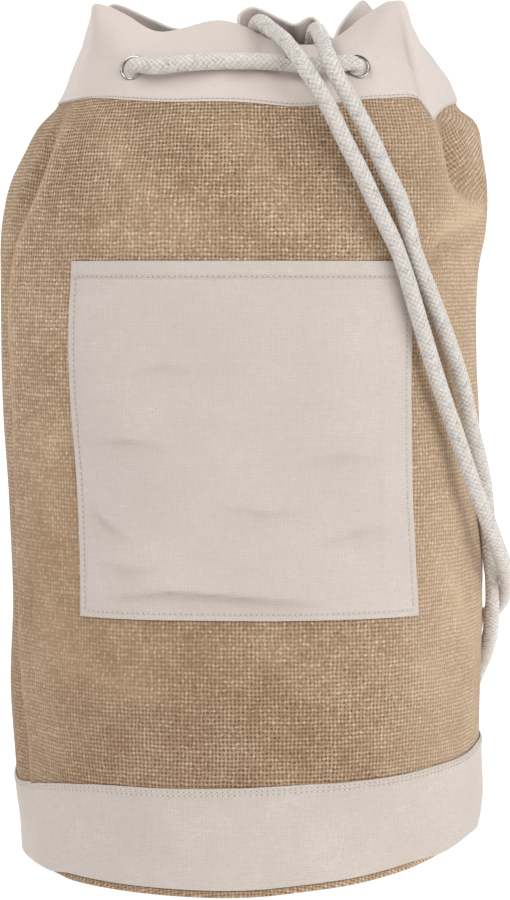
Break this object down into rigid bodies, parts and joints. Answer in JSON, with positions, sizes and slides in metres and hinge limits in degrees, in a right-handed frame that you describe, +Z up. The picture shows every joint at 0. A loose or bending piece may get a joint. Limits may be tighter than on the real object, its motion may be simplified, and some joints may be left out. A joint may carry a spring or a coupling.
{
  "type": "drawstring travel bag",
  "caption": "Cylindrical drawstring bag of open woven cloth with a round base, lower band, patch pocket, eyeletted cuff and a braided cord that serves as its strap.",
  "frame": {"origin": "the middle of the base's flat underside, where the axis of the round base meets the ground", "axes": "+Z up along the bag; -Y is the front with the pocket; +X is the side on which the cord hangs"},
  "size_m": [0.3136, 0.2893, 0.5283],
  "materials": {
    "jute": "open plain weave, matt",
    "base_jute": "open plain weave, matt",
    "cotton": "unbleached canvas, matt",
    "cuff_cotton": "unbleached canvas, matt",
    "pocket_cotton": "unbleached canvas, matt",
    "ring_metal": "bright nickel",
    "cord_cotton": "round braid, matt"
  },
  "bodies": {
    "root": {"body_cloth": "jute", "base_disc": "base_jute", "lower_band": "cotton", "cuff": "cuff_cotton", "pocket": "pocket_cotton", "eyelet_front_left": "ring_metal", "eyelet_front_right": "ring_metal", "eyelet_side_right": "ring_metal", "eyelet_back_right": "ring_metal", "eyelet_back_left": "ring_metal", "eyelet_side_left": "ring_metal", "eyelet_band_rear": "ring_metal", "eyelet_band_fore": "ring_metal", "drawcord": "cord_cotton", "cord_knot_rear": "cord_cotton", "cord_knot_fore": "cord_cotton"}
  },
  "joints": []
}
